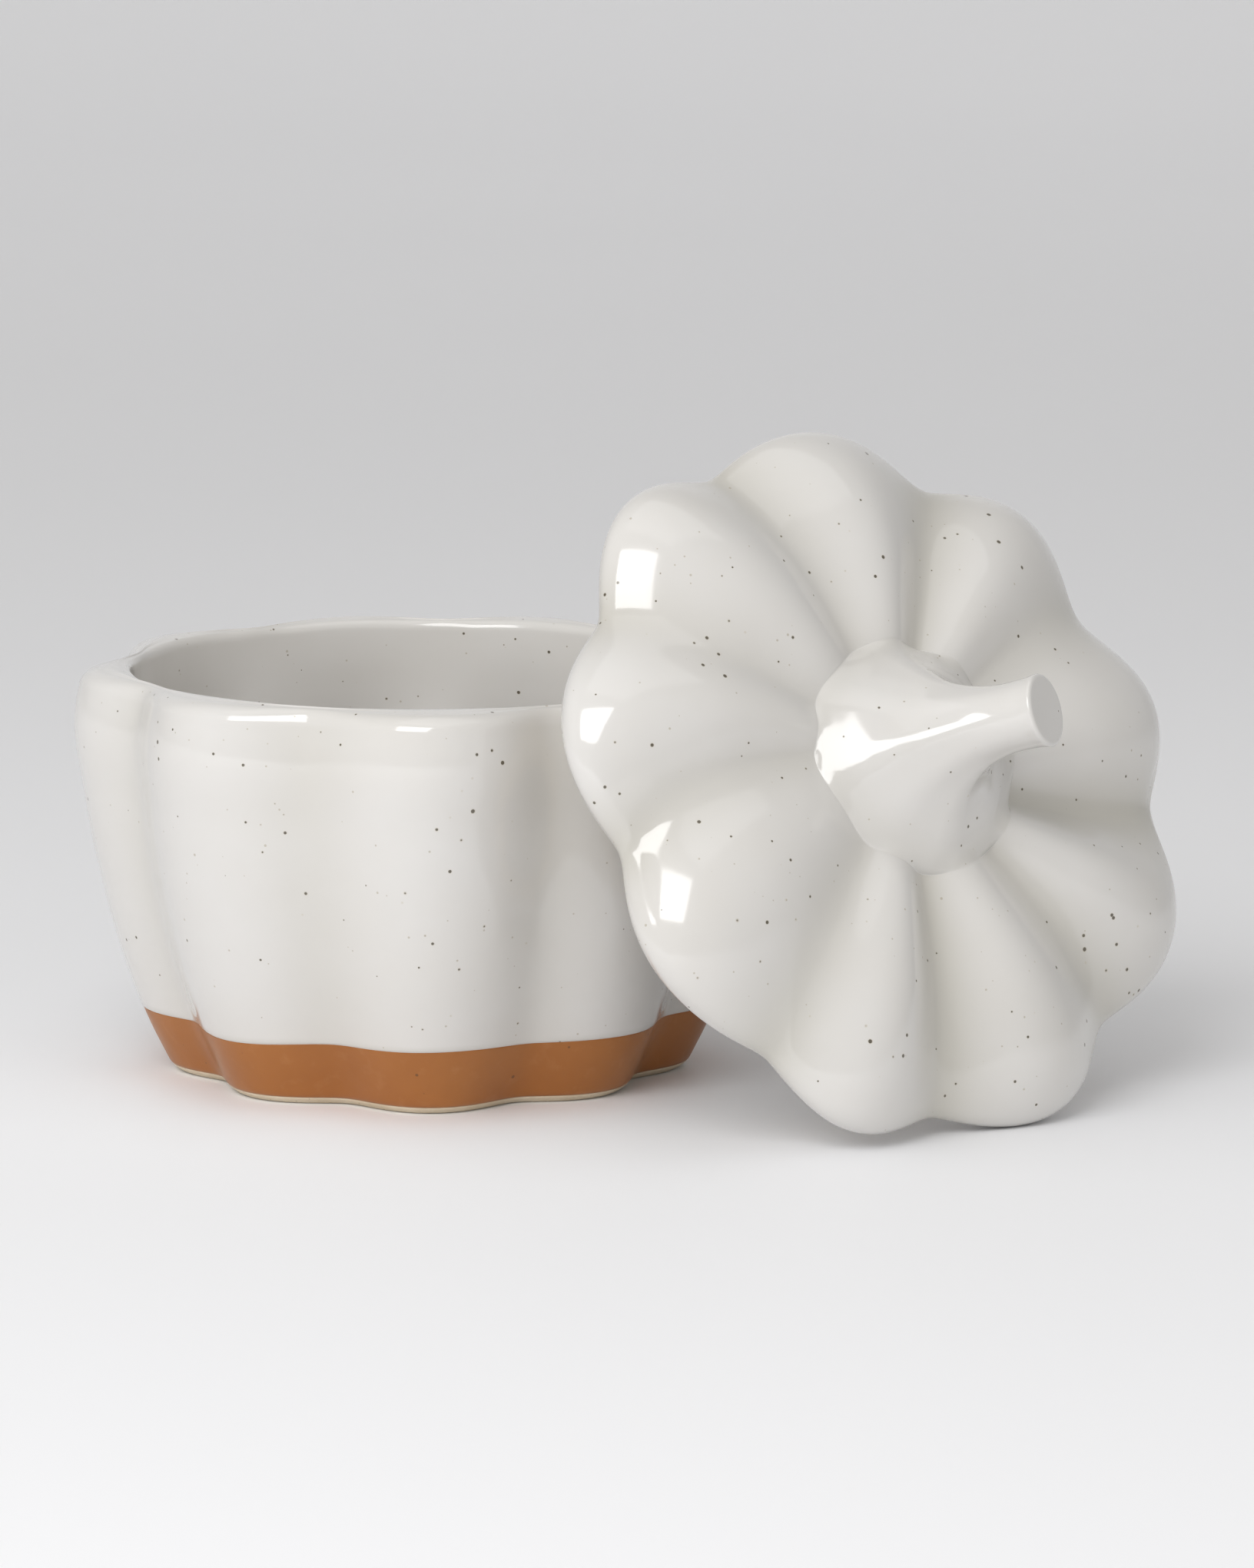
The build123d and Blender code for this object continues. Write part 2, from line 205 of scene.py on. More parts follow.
def smoothstep(low, high, x):
    """0 below low, 1 above high, and a smooth rise between them."""
    t = min(max((x - low) / (high - low), 0.0), 1.0)
    return t * t * (3 - 2 * t)


def lobe_wave(u, softness):
    """Height of a lobe across its width: 0 in the valleys, at u = 0 and 1, and 1 on its crest."""
    s = np.sin(np.pi * u)
    return (np.hypot(s, softness) - softness) / (np.hypot(1, softness) - softness)


def columns(valleys):
    """Lobe number, place across the lobe and angle of each mesh column, closer together in the valleys."""
    valleys = np.asarray(valleys, float)
    t = np.arange(COLUMNS_PER_LOBE) / COLUMNS_PER_LOBE
    u = t - 0.5 * np.sin(2 * np.pi * t) / (2 * np.pi)
    width = np.diff(np.append(valleys, valleys[0] + 360))
    lobe = np.repeat(np.arange(len(valleys)), COLUMNS_PER_LOBE)
    u = np.tile(u, len(valleys))
    return lobe, u, np.radians(valleys[lobe] + u * width[lobe])


# ---- Meshes from rings ---------------------------------------------------------------------------
def make_piece(name, rings, pool_and_shade_rings=None, loop=False):
    """A closed mesh from rings of points in millimetres. Unless it loops, its two ends are closed by fans.

    The darkening values, from 0 to 1 at each point, darken the glaze's colour: partly for glaze pooling
    thick, partly as painted shade in valleys and creases.
    """
    rings = [np.asarray(ring, float) for ring in rings]
    count = len(rings[0])
    points = np.vstack(rings)
    faces = []
    pairs = list(zip(range(len(rings) - 1), range(1, len(rings))))
    if loop:
        pairs.append((len(rings) - 1, 0))
    for a, b in pairs:
        for i in range(count):
            j = (i + 1) % count
            faces.append((a * count + i, a * count + j, b * count + j, b * count + i))
    pool_and_shade = np.zeros(len(points)) if pool_and_shade_rings is None else np.concatenate(pool_and_shade_rings)
    if not loop:
        for last in (0, len(rings) - 1):
            centre = len(points)
            points = np.vstack([points, rings[last].mean(0)])
            pool_and_shade = np.append(pool_and_shade, 0.0)
            start = last * count
            faces += [(start + i, start + (i + 1) % count, centre) for i in range(count)]
    mesh = bpy.data.meshes.new(name)
    mesh.from_pydata((points * MM).tolist(), [], faces)
    attribute = mesh.attributes.new("pool_and_shade", "FLOAT", "POINT")
    attribute.data.foreach_set("value", pool_and_shade.astype(np.float32))
    bm = bmesh.new()
    bm.from_mesh(mesh)
    bmesh.ops.recalc_face_normals(bm, faces=bm.faces)
    bm.to_mesh(mesh)
    bm.free()
    mesh.shade_smooth()
    piece = bpy.data.objects.new(name, mesh)
    bpy.context.scene.collection.objects.link(piece)
    return piece


def fit_in(piece, body, node, material):
    """Let a piece stand for a CAD node, on its body and with its finish."""
    piece.data.materials.append(material)
    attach(piece, body)
    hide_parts(node)


# ---- Bowl ----------------------------------------------------------------------------------------
bowl_lobe, bowl_u, bowl_angle = columns(BOWL_VALLEYS)
bowl_wave = lobe_wave(bowl_u, BOWL_SOFTNESS)
# Valleys darken: partly the glaze's pooling tint, partly painted shade.
bowl_pool_and_shade = BOWL_POOL_AND_SHADE * (1 - bowl_wave) ** 2


def bowl_radius(height, softness=BOWL_SOFTNESS):
    """Outside radius of the bowl's wall in every column. Height is one number or one per column."""
    valley = smooth(VALLEY_DEPTH, height)[:, 0] * (1 - lobe_wave(bowl_u, softness))
    extra = np.array(BOWL_LOBE_EXTRA)[bowl_lobe] * np.sin(np.pi * bowl_u) ** 2
    return flowing(WALL_PROFILE, height)[:, 0] - valley + extra


def bowl_ring(radius, height):
    height = np.broadcast_to(height, radius.shape)
    return np.stack([radius * np.sin(bowl_angle), -radius * np.cos(bowl_angle), height], 1)


def glaze_edge():
    """Height of the dip line in every column: nearly level, with the slow waves of a dipped edge."""
    return GLAZE_LINE + sum(size * np.sin(waves * bowl_angle + start) for size, waves, start in GLAZE_WAVES)


def bowl_foot_rows(edge):
    """Underside, then the lower wall behind the brown band. A row is (radius, height, darkening for pooling
    and painted shade).
    """
    for share in (0.06, 0.3, 0.6, 0.85, 0.97):
        yield share * (bowl_radius(FOOT_RING_HEIGHT) - BAND_STEP), FOOT_RING_HEIGHT, 0.0
    for share in (0.03, 0.3, 0.6, 0.9):
        height = FOOT_RING_HEIGHT + share * (edge - FOOT_RING_HEIGHT)
        yield bowl_radius(height) - BAND_STEP, height, 0.0


def bowl_wall_rows(edge):
    """White outside, from the glaze's thick rounded edge up to the lip."""
    for turn in np.linspace(0, 1, 6):
        inset = BAND_STEP * (1 - math.sin(turn * math.pi / 2)) - GLAZE_BULGE * turn
        height = edge + GLAZE_EDGE_HEIGHT * (1 - math.cos(turn * math.pi / 2))
        yield bowl_radius(height) - inset, height, GLAZE_EDGE_POOL
    full_rise = BOWL_HEIGHT - LIP_DEPTH - GLAZE_LINE
    for rise in np.linspace(WALL_START, full_rise - WALL_END, WALL_RINGS):
        bulge = GLAZE_BULGE * math.exp(-(rise - GLAZE_EDGE_HEIGHT) / GLAZE_BULGE_FADE)
        level = edge + rise + (GLAZE_LINE - edge) * rise / full_rise
        yield bowl_radius(level) + bulge, level, bowl_pool_and_shade


def bowl_lip_rows():
    """Outer rounding, crown and inner rounding."""
    lip_room = bowl_radius(BOWL_HEIGHT) - MOUTH_RADIUS
    outer = np.minimum(LIP_WIDTH, lip_room / 2)
    inner = np.minimum(MOUTH_ROUND, MOUTH_ROUND_SHARE * lip_room)
    dip = LIP_DIP * (1 - bowl_wave)
    for turn in np.linspace(0, math.pi / 2, 12):
        height = BOWL_HEIGHT - LIP_DEPTH * (1 - math.sin(turn)) - (LIP_CROWN + dip) * math.sin(turn)
        yield bowl_radius(height) - outer * (1 - math.cos(turn)), height, bowl_pool_and_shade * 0.5
    start = bowl_radius(BOWL_HEIGHT) - outer
    finish = MOUTH_RADIUS + inner
    top = BOWL_HEIGHT - LIP_CROWN - dip
    for share in (0.15, 0.35, 0.5, 0.65, 0.85):
        yield start + (finish - start) * share, top + LIP_CROWN * math.sin(share * math.pi), 0.0
    for turn in np.linspace(0, math.pi / 2, 9):
        yield finish - inner * math.sin(turn), top - MOUTH_ROUND_DEPTH * (1 - math.cos(turn)), 0.0


def bowl_cavity_rows():
    """Inside wall, closer together where it curves into the floor, then the floor."""
    upper = np.linspace(84.0, 62.0, 24)
    lower = np.linspace(60.0, 17.0, 22)
    corner = np.append(np.linspace(15.5, 6.9, 12), (6.65, 6.53, FLOOR_TOP))
    for height in np.concatenate([upper, lower, corner]):
        roundness = smooth(CAVITY_ROUNDNESS, height)[0, 0]
        lobed = bowl_radius(height, CAVITY_SOFTNESS) - smooth(CAVITY_INSET, height)[0, 0]
        yield lobed + (MOUTH_RADIUS - lobed) * roundness, height, 0.0
    floor = bowl_radius(FLOOR_TOP, CAVITY_SOFTNESS) - CAVITY_INSET[0][1]
    for share in (0.96, 0.88, 0.7, 0.45, 0.2, 0.05):
        yield floor * share, FLOOR_TOP, 0.0


def bowl_rings():
    edge = glaze_edge()
    rows = [*bowl_foot_rows(edge), *bowl_wall_rows(edge), *bowl_lip_rows(), *bowl_cavity_rows()]
    rings = [bowl_ring(radius, height) for radius, height, _ in rows]
    pool_and_shade_rings = [np.broadcast_to(pool_and_shade, radius.shape) for radius, _, pool_and_shade in rows]
    return rings, pool_and_shade_rings


def band_rings():
    """Brown coat, from its rounded lower edge up to the dip line and back down its inner face."""
    low = FOOT_RING_HEIGHT
    full_rise = glaze_edge() + BAND_OVERLAP - low
    rounded = 0.06
    rings = []
    for share in (0.0, 0.02, rounded, 0.12, 0.2, 0.3, 0.4, 0.5, 0.6, 0.7, 0.8, 0.9, 0.97, 1.0):
        height = low + share * full_rise
        rounding = BAND_EDGE_ROUND * (1 - math.sqrt(1 - (1 - min(share / rounded, 1)) ** 2))
        rings.append(bowl_ring(bowl_radius(height) - (BAND_STEP - BAND_THICKNESS) - rounding, height))
    for share in (1.0, 0.5, 0.0):
        height = low + share * full_rise
        rings.append(bowl_ring(bowl_radius(height) - BAND_STEP, height))
    return rings


def foot_ring_rings():
    """Raw clay ring: bevelled outside, flat where it stands, round-edged inside."""
    outside = [bowl_ring(bowl_radius(height) - inset, height) for height, inset in FOOT_RING_OUTSIDE]
    inner = bowl_radius(0.0, CAVITY_SOFTNESS) - FOOT_RING_WIDTH
    inside = [bowl_ring(inner - inset, height) for height, inset in FOOT_RING_INSIDE]
    return outside + inside


# ---- Lid -----------------------------------------------------------------------------------------
lid_x = np.array((math.cos(LID_AZIMUTH), math.sin(LID_AZIMUTH), 0.0))
lid_z = np.array((
    math.sin(LID_AZIMUTH) * math.cos(LID_ELEVATION),
    -math.cos(LID_AZIMUTH) * math.cos(LID_ELEVATION),
    math.sin(LID_ELEVATION),
))
lid_y = np.cross(lid_z, lid_x)
LID_AXES = np.stack([lid_x, lid_y, lid_z])


def from_lid(points):
    """Points of the lid's own frame, in the whole object's frame."""
    return np.asarray(points) @ LID_AXES + LID_CENTRE


def lid_valleys(share):
    """Directions of the valleys at a share of the way from the seat's edge to the root of the stem."""
    bend = max(0.0, (share - BEND_START) / (1 - BEND_START))
    return np.array(LID_VALLEYS) + np.array(LID_VALLEY_BEND) * bend


def dome_profile(share):
    """(radius, height) on a lobe's crest and in a valley."""
    crest = flowing([(s, *p) for s, p in zip(DOME_STATIONS, DOME_CREST)], share)[0]
    valley = flowing([(s, *p) for s, p in zip(DOME_STATIONS, DOME_VALLEY)], share)[0]
    return crest, valley


def between_valleys(values, lobe, u):
    """A value given for each valley, blended across the lobe between two of them."""
    values = np.array(values)
    near_next = np.sin(np.pi * u / 2) ** 2
    return values[lobe] * (1 - near_next) + values[(lobe + 1) % len(values)] * near_next


def lid_section(share, lobe, u):
    """Radius, height, and darkening for pooling glaze and painted shade in the valleys, at a share of the
    way from the seat's edge to the stem's root.
    """
    crest, valley = dome_profile(share)
    softer = smoothstep(*SOFTNESS_CHANGE, share)
    wave = lobe_wave(u, LID_EDGE_SOFTNESS + (LID_INNER_SOFTNESS - LID_EDGE_SOFTNESS) * softer)
    gone = between_valleys(LID_VALLEY_FADE, lobe, u)
    wave = wave + (1 - wave) * gone * smoothstep(*VALLEY_FADE_RANGE, share)
    deeper = between_valleys(LID_VALLEY_EXTRA, lobe, u) * (1 - wave)
    extra = np.array(LID_LOBE_EXTRA)[lobe] * np.sin(np.pi * u) ** 2 - deeper
    fade = min(1.0, (1 - share) / EXTRA_FADE)
    radius = valley[0] + (crest[0] - valley[0]) * wave + fade * extra
    height = valley[1] + (crest[1] - valley[1]) * wave
    return radius, height, (1 - wave) ** 2


def lid_ring(radius, height, angle):
    height = np.broadcast_to(height, radius.shape)
    return from_lid(np.stack([radius * np.cos(angle), radius * np.sin(angle), height], 1))


def lid_rings():
    """Dome from the stem down, its rounded edge, the flat seat and the hollow underside."""
    rings = []
    pool_and_shade_rings = []

    def put(radius, height, angle, pool_and_shade):
        rings.append(lid_ring(radius, height, angle))
        pool_and_shade_rings.append(pool_and_shade)

    for share in np.concatenate([[1.0], np.linspace(0.985, 0.06, 84), [0.05, DOME_EDGE]]):
        lobe, u, angle = columns(lid_valleys(share))
        radius, height, pool_and_shade = lid_section(share, lobe, u)
        put(radius, height, angle, pool_and_shade)
    # From here on every ring has the columns of the dome's last one.
    edge = radius
    for turn in np.linspace(0.15, 1, 8):
        radius = edge - SEAT_EDGE_ROUND * (1 - math.cos(turn * math.pi / 2)) - SEAT_EDGE_INSET * turn
        put(radius, height * (1 - math.sin(turn * math.pi / 2)), angle, pool_and_shade * 0.5)
    no_pool_or_shade = np.zeros_like(pool_and_shade)
    for share in (0.25, 0.5, 0.75):
        put(radius + (HOLLOW_MOUTH - radius) * share, 0.0, angle, no_pool_or_shade)
    for share in np.linspace(0, 1, 34):
        hollow_radius, hollow_height = smooth(HOLLOW_PROFILE, share)[0]
        put(np.full_like(u, hollow_radius), hollow_height, angle, no_pool_or_shade)
    for share in (0.7, 0.4, 0.12):
        put(np.full_like(u, hollow_radius * share), hollow_height, angle, no_pool_or_shade)
    return rings, pool_and_shade_rings


def flange_rings():
    """Raw clay ring below the dome, with both lower edges rounded."""
    angle = np.radians(np.arange(0, 360, 1.0))
    outer = FLANGE_RADIUS
    inner = FLANGE_RADIUS - FLANGE_WIDTH
    turns = np.linspace(0, math.pi / 2, 7)
    insets = FLANGE_ROUND * (1 - np.cos(turns))
    heights = FLANGE_ROUND * (1 - np.sin(turns)) - FLANGE_DROP
    profile = [(inner, 0.0), (outer, 0.0), (outer, FLANGE_WALL_POINT)]
    profile += zip(outer - insets, heights)
    profile += zip(inner + insets[::-1], heights[::-1])
    profile.append((inner, FLANGE_WALL_POINT))
    return [lid_ring(np.full_like(angle, radius), height, angle) for radius, height in profile]


def dome_heights(x, y):
    """Height of the dome's outside under points of the lid's frame."""
    radii = []
    heights = []
    angle = np.arctan2(y, x)
    for share in np.linspace(0.45, 1.0, 60):
        valleys = np.radians(lid_valleys(share))
        ahead = (angle[:, None] - valleys[None]) % (2 * np.pi)
        lobe = ahead.argmin(1)
        following = np.append(valleys, valleys[0] + 2 * np.pi)
        u = ahead[np.arange(len(angle)), lobe] / np.diff(following)[lobe]
        radius, height, _ = lid_section(share, lobe, u)
        radii.append(radius)
        heights.append(height)
    radii = np.array(radii)[::-1]
    heights = np.array(heights)[::-1]
    distance = np.hypot(x, y)
    return np.array([np.interp(distance[i], radii[:, i], heights[:, i]) for i in range(len(angle))])


# ---- Stem ----------------------------------------------------------------------------------------
def cornered(corners, direction):
    """Radius of a rounded many-sided outline in a direction, as a share of its full radius."""
    start = corners[0][0]
    following = corners[1:] + ((start + 360, corners[0][1]),)
    total = 0.0
    for offset in CORNER_ROUNDING:
        turned = (direction + offset - start) % 360 + start
        for (a0, r0), (a1, r1) in zip(corners, following):
            if a0 <= turned < a1:
                past = math.sin(math.radians(turned - a0))
                ahead = math.sin(math.radians(a1 - turned))
                total += r0 * r1 * math.sin(math.radians(a1 - a0)) / (r0 * past + r1 * ahead)
    return total / len(CORNER_ROUNDING)


def stem_axes(tilt):
    """Direction of the stem where it has this tilt, and the two directions across it."""
    tilt = math.radians(tilt)
    level = math.sin(tilt)
    axis = np.array((level * math.cos(STEM_HEADING), level * math.sin(STEM_HEADING), math.cos(tilt)))
    across = np.array((1.0, 0.0, 0.0)) - axis * axis[0]
    across /= np.linalg.norm(across)
    return axis, across, np.cross(axis, across)


def settle_on_dome(points):
    """Lay the stem's lowest points on the dome, with a small rounded root where they leave it."""
    dome = dome_heights(points[:, 0], points[:, 1])
    rise = points[:, 2] - dome
    fillet = np.maximum(ROOT_FILLET - np.abs(rise), 0) ** 2 / (4 * ROOT_FILLET)
    return dome, dome + np.maximum(rise, 0) + fillet


def stem_rings():
    """Many-sided stem from its root in the dome to its flat end."""
    angle = np.radians(np.arange(0, 360, 1.2))
    root = np.array([cornered(ROOT_CORNERS, direction) for direction in np.degrees(angle)])
    neck = np.array([cornered(NECK_CORNERS, direction) for direction in np.degrees(angle)])
    stations = np.linspace(0, 1, len(STEM_SECTIONS))
    table = [(station, *section) for station, section in zip(stations, STEM_SECTIONS)]
    pool_and_shade_amount, pool_and_shade_height, pool_and_shade_spread = ROOT_POOL_AND_SHADE
    no_pool_or_shade = np.zeros_like(angle)
    rings = []
    pool_and_shade_rings = []
    for share in np.linspace(0, 1, 90):
        x, y, z, tilt, full_radius, facets = flowing(table, share)[0]
        axis, across, aside = stem_axes(tilt)
        centre = np.array((x, y, z))
        circle = np.cos(angle)[:, None] * across + np.sin(angle)[:, None] * aside
        corners = root + (neck - root) * smoothstep(*CORNER_CHANGE, z)
        points = centre + (full_radius * (1 + facets * (corners - 1)))[:, None] * circle
        if z < ROOT_TOP:
            dome, settled = settle_on_dome(points)
            points[:, 2] = dome - ROOT_SUNK if share == 0 else settled
        rings.append(from_lid(points))
        # Darker round the root: partly pooling glaze, partly painted shade in the crease.
        pool_and_shade_rings.append(no_pool_or_shade + pool_and_shade_amount * math.exp(-((z - pool_and_shade_height) / pool_and_shade_spread) ** 2))
    # Rounded edge, then the slightly dished end face.
    for turn in np.linspace(0.12, 1, 8):
        inset = STEM_EDGE_ROUND * (1 - math.cos(turn * math.pi / 2))
        rise = STEM_EDGE_ROUND * math.sin(turn * math.pi / 2) * STEM_EDGE_HEIGHT
        edge = (full_radius - inset) * circle
        rings.append(from_lid(centre + rise * axis + edge))
        pool_and_shade_rings.append(no_pool_or_shade)
    for share in (0.9, 0.65, 0.35, 0.1):
        sunk = STEM_END_DISH * (1 - share)
        rings.append(from_lid(centre + (rise - sunk) * axis + edge * share))
        pool_and_shade_rings.append(no_pool_or_shade)
    return rings, pool_and_shade_rings


# ---- Materials -----------------------------------------------------------------------------------
class Nodes:
    """Short forms for building a material's node tree."""

    def __init__(self, name):
        self.material = bpy.data.materials.new(name)
        self.material.use_nodes = True
        self.tree = self.material.node_tree
        self.shader = self.tree.nodes["Principled BSDF"]
        coordinates = self.tree.nodes.new("ShaderNodeTexCoord")
        self.position = coordinates.outputs["Object"]

    def link(self, source, target):
        self.tree.links.new(source, target)

    def feed(self, socket, value):
        """Give a socket a colour, a number or another node's output."""
        if isinstance(value, tuple):
            socket.default_value = (*value, 1.0)
        elif isinstance(value, (int, float)):
            socket.default_value = value
        else:
            self.link(value, socket)

    def noise(self, scale, detail=2.0, roughness=0.5):
        node = self.tree.nodes.new("ShaderNodeTexNoise")
        node.inputs["Scale"].default_value = scale
        node.inputs["Detail"].default_value = detail
        node.inputs["Roughness"].default_value = roughness
        self.link(self.position, node.inputs["Vector"])
        return node.outputs["Fac"]

    def cells(self, scale):
        node = self.tree.nodes.new("ShaderNodeTexVoronoi")
        node.inputs["Scale"].default_value = scale
        self.link(self.position, node.inputs["Vector"])
        return node.outputs["Distance"]

    def math(self, operation, a, b):
        node = self.tree.nodes.new("ShaderNodeMath")
        node.operation = operation
        for socket, value in zip(node.inputs, (a, b)):
            self.feed(socket, value)
        return node.outputs[0]

    def spread(self, value, low, high, to_low=0.0, to_high=1.0):
        node = self.tree.nodes.new("ShaderNodeMapRange")
        node.inputs["From Min"].default_value = low
        node.inputs["From Max"].default_value = high
        node.inputs["To Min"].default_value = to_low
        node.inputs["To Max"].default_value = to_high
        self.link(value, node.inputs["Value"])
        return node.outputs["Result"]

    def mix(self, share, a, b):
        node = self.tree.nodes.new("ShaderNodeMix")
        node.data_type = "RGBA"
        self.link(share, node.inputs["Factor"])
        self.feed(node.inputs["A"], a)
        self.feed(node.inputs["B"], b)
        return node.outputs["Result"]

    def attribute(self, name):
        node = self.tree.nodes.new("ShaderNodeAttribute")
        node.attribute_name = name
        return node.outputs["Fac"]

    def bump(self, height, strength, distance):
        node = self.tree.nodes.new("ShaderNodeBump")
        node.inputs["Strength"].default_value = strength
        node.inputs["Distance"].default_value = distance
        self.link(height, node.inputs["Height"])
        self.link(node.outputs["Normal"], self.shader.inputs["Normal"])

    def set(self, **values):
        for name, value in values.items():
            self.feed(self.shader.inputs[name.replace("_", " ")], value)


def specks(nodes, cell, size, size_scale):
    """1 inside a speck. Cell is the typical spacing and size the typical radius, in metres."""
    radius = size / cell
    uneven = nodes.spread(nodes.noise(size_scale, 1.0), 0.35, 0.7, 0.45 * radius, 1.5 * radius)
    inside = nodes.math("SUBTRACT", uneven, nodes.cells(1 / cell))
    return nodes.spread(inside, 0.0, 0.3 * radius)


def white_glaze():
    """Warm white, greener and darker in the valleys and creases, partly from glaze pooling and partly as
    painted shade, with faint and bold iron specks.
    """
    nodes = Nodes("white_speckled_glaze")
    cloudy = nodes.spread(nodes.noise(28.0, 3.0), 0.3, 0.7)
    ground = nodes.mix(cloudy, (0.65, 0.63, 0.60), (0.675, 0.66, 0.64))
    # Darker, greener colour in valleys and creases: partly glaze pooling, partly painted shade.
    pooled_and_shaded = nodes.mix(nodes.math("MULTIPLY", nodes.attribute("pool_and_shade"), 0.75), ground, (0.48, 0.46, 0.405))
    faint = nodes.math("MULTIPLY", specks(nodes, 0.0036, 0.00022, 90.0), 0.5)
    freckled = nodes.mix(faint, pooled_and_shaded, (0.33, 0.27, 0.17))
    halo = nodes.math("MULTIPLY", specks(nodes, 0.0044, 0.00042, 45.0), 0.35)
    haloed = nodes.mix(halo, freckled, (0.45, 0.38, 0.24))
    bold = specks(nodes, 0.0044, 0.00033, 45.0)
    colour = nodes.mix(nodes.math("MULTIPLY", bold, 0.9), haloed, (0.055, 0.042, 0.022))
    roughness = nodes.spread(nodes.noise(60.0, 2.0), 0.3, 0.7, 0.09, 0.15)
    nodes.set(Base_Color=colour, Roughness=roughness, IOR=1.6, Coat_Weight=0.6, Coat_Roughness=0.07)
    nodes.bump(nodes.noise(75.0, 2.0, 0.4), 0.12, 0.0006)
    return nodes.material


def brown_glaze():
    """Orange brown, a little paler in thin spots, less glossy than the white."""
    nodes = Nodes("brown_glaze")
    streaks = nodes.spread(nodes.noise(34.0, 4.0, 0.6), 0.3, 0.72)
    ground = nodes.mix(streaks, (0.32, 0.109, 0.019), (0.38, 0.139, 0.028))
    thinness = nodes.spread(nodes.noise(260.0, 3.0), 0.58, 0.78, 0.0, 0.14)
    thin = nodes.mix(thinness, ground, (0.56, 0.28, 0.12))
    bold = nodes.math("MULTIPLY", specks(nodes, 0.0050, 0.00030, 50.0), 0.7)
    colour = nodes.mix(bold, thin, (0.10, 0.045, 0.015))
    roughness = nodes.spread(nodes.noise(120.0, 3.0), 0.3, 0.7, 0.30, 0.42)
    nodes.set(Base_Color=colour, Roughness=roughness, IOR=1.5)
    nodes.bump(nodes.noise(420.0, 3.0, 0.6), 0.10, 0.0003)
    return nodes.material


def raw_clay():
    """Dry buff clay with grit."""
    nodes = Nodes("raw_clay")
    tone = nodes.spread(nodes.noise(150.0, 4.0, 0.6), 0.3, 0.7)
    ground = nodes.mix(tone, (0.60, 0.50, 0.36), (0.72, 0.63, 0.49))
    grit = nodes.math("MULTIPLY", specks(nodes, 0.0022, 0.00022, 200.0), 0.6)
    colour = nodes.mix(grit, ground, (0.30, 0.21, 0.12))
    nodes.set(Base_Color=colour, Roughness=nodes.spread(nodes.noise(500.0, 2.0), 0.3, 0.7, 0.78, 0.92))
    nodes.bump(nodes.noise(900.0, 4.0, 0.7), 0.35, 0.0003)
    return nodes.material


def stage_paper():
    nodes = Nodes("stage_paper")
    tone = nodes.spread(nodes.noise(1.2, 2.0), 0.3, 0.7)
    nodes.set(Base_Color=nodes.mix(tone, (0.87, 0.873, 0.89), (0.89, 0.892, 0.91)), Roughness=0.6)
    return nodes.material


# ---- Stage, lights and camera --------------------------------------------------------------------
def make_stage():
    """One pale sheet: floor, a wide bend, and a wall far behind the object."""
    half_width = 6.0
    front = -6.0
    bend_start = 2.2
    bend_radius = 1.6
    top = 7.0
    profile = [(front, 0.0), (-1.0, 0.0), (0.0, 0.0), (bend_start, 0.0)]
    for turn in np.linspace(0, math.pi / 2, 24)[1:]:
        profile.append((bend_start + bend_radius * math.sin(turn), bend_radius * (1 - math.cos(turn))))
    profile.append((bend_start + bend_radius, top))
    points = [(x, y, z) for y, z in profile for x in (-half_width, half_width)]
    faces = [(2 * i, 2 * i + 1, 2 * i + 3, 2 * i + 2) for i in range(len(profile) - 1)]
    mesh = bpy.data.meshes.new("stage_sheet")
    mesh.from_pydata(points, [], faces)
    mesh.shade_smooth()
    mesh.materials.append(stage_paper())
    stage = bpy.data.objects.new("stage_sheet", mesh)
    bpy.context.scene.collection.objects.link(stage)


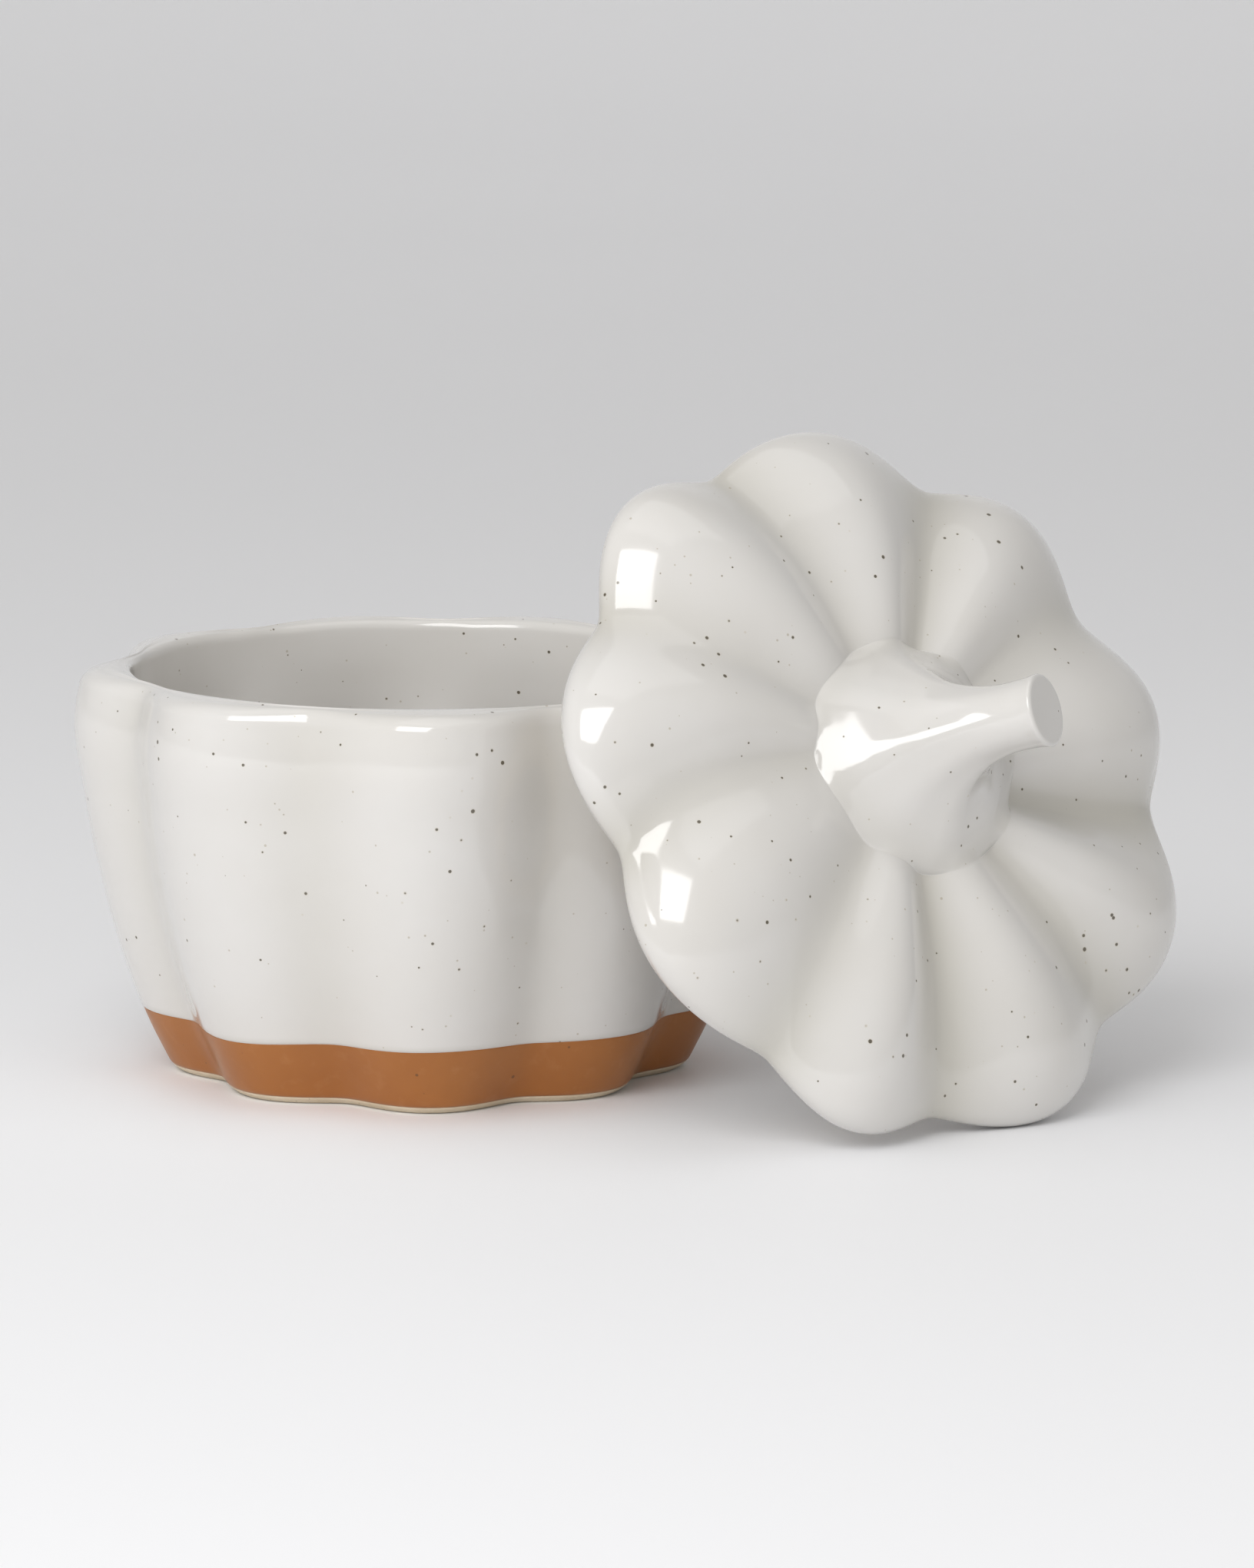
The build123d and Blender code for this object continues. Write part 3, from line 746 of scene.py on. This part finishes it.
def area_light(name, location, target, size, power, reflected=True):
    """A white panel. One that isn't reflected lights the glaze without drawing its outline on it."""
    data = bpy.data.lights.new(name, "AREA")
    data.shape = "RECTANGLE"
    data.size, data.size_y = size
    data.energy = power
    light = bpy.data.objects.new(name, data)
    light.location = location
    light.visible_glossy = reflected
    light.rotation_euler = (Vector(target) - Vector(location)).to_track_quat("-Z", "Y").to_euler()
    bpy.context.scene.collection.objects.link(light)


def make_lights():
    middle = (0.05, 0.0, 0.06)
    area_light("softbox", (-0.42, -1.17, 1.05), middle, (0.95, 0.85), 11.0)
    area_light("front_wash", (-0.1, -2.1, 0.9), middle, (3.2, 1.6), 10.5, reflected=False)
    area_light("left_wash", (-1.9, -0.6, 1.1), middle, (2.2, 2.0), 14.0, reflected=False)
    area_light("right_wash", (1.6, -1.5, 0.7), middle, (2.6, 2.0), 3.5, reflected=False)
    area_light("top_fill", (0.2, -0.1, 1.9), middle, (1.6, 1.6), 3.5)
    area_light("backdrop_wash", (0.0, 2.0, 2.0), (0.0, 4.0, 0.6), (3.5, 1.6), 13.0)
    world = bpy.data.worlds.new("studio")
    bpy.context.scene.world = world
    world.use_nodes = True
    background = world.node_tree.nodes["Background"]
    background.inputs["Color"].default_value = (0.97, 0.955, 0.925, 1.0)
    background.inputs["Strength"].default_value = 0.41


def make_camera():
    """A long lens, a little above the object and looking straight along +Y."""
    camera = bpy.data.objects.new("camera", bpy.data.cameras.new("camera"))
    camera.data.lens = 190.4
    camera.data.sensor_width = 36.0
    camera.data.clip_end = 50.0
    camera.location = (0.0427, -1.7482, 0.3541)
    camera.rotation_euler = (math.radians(80.47), 0.0, 0.0)
    bpy.context.scene.collection.objects.link(camera)
    bpy.context.scene.camera = camera


make_camera()
make_lights()
make_stage()
bpy.context.scene.view_settings.view_transform = "Standard"

white = white_glaze()
brown = brown_glaze()
clay = raw_clay()
fit_in(make_piece("bowl_shell", *bowl_rings()), "bowl", "bowl_casting", white)
fit_in(make_piece("bowl_band", band_rings(), loop=True), "bowl", "foot_band_glaze", brown)
fit_in(make_piece("bowl_foot", foot_ring_rings(), loop=True), "bowl", "foot_ring", clay)
fit_in(make_piece("lid_dome", *lid_rings()), "lid", "lid_casting", white)
fit_in(make_piece("lid_flange", flange_rings(), loop=True), "lid", "seat_flange", clay)
fit_in(make_piece("lid_stem", *stem_rings()), "lid", "stem_handle", white)
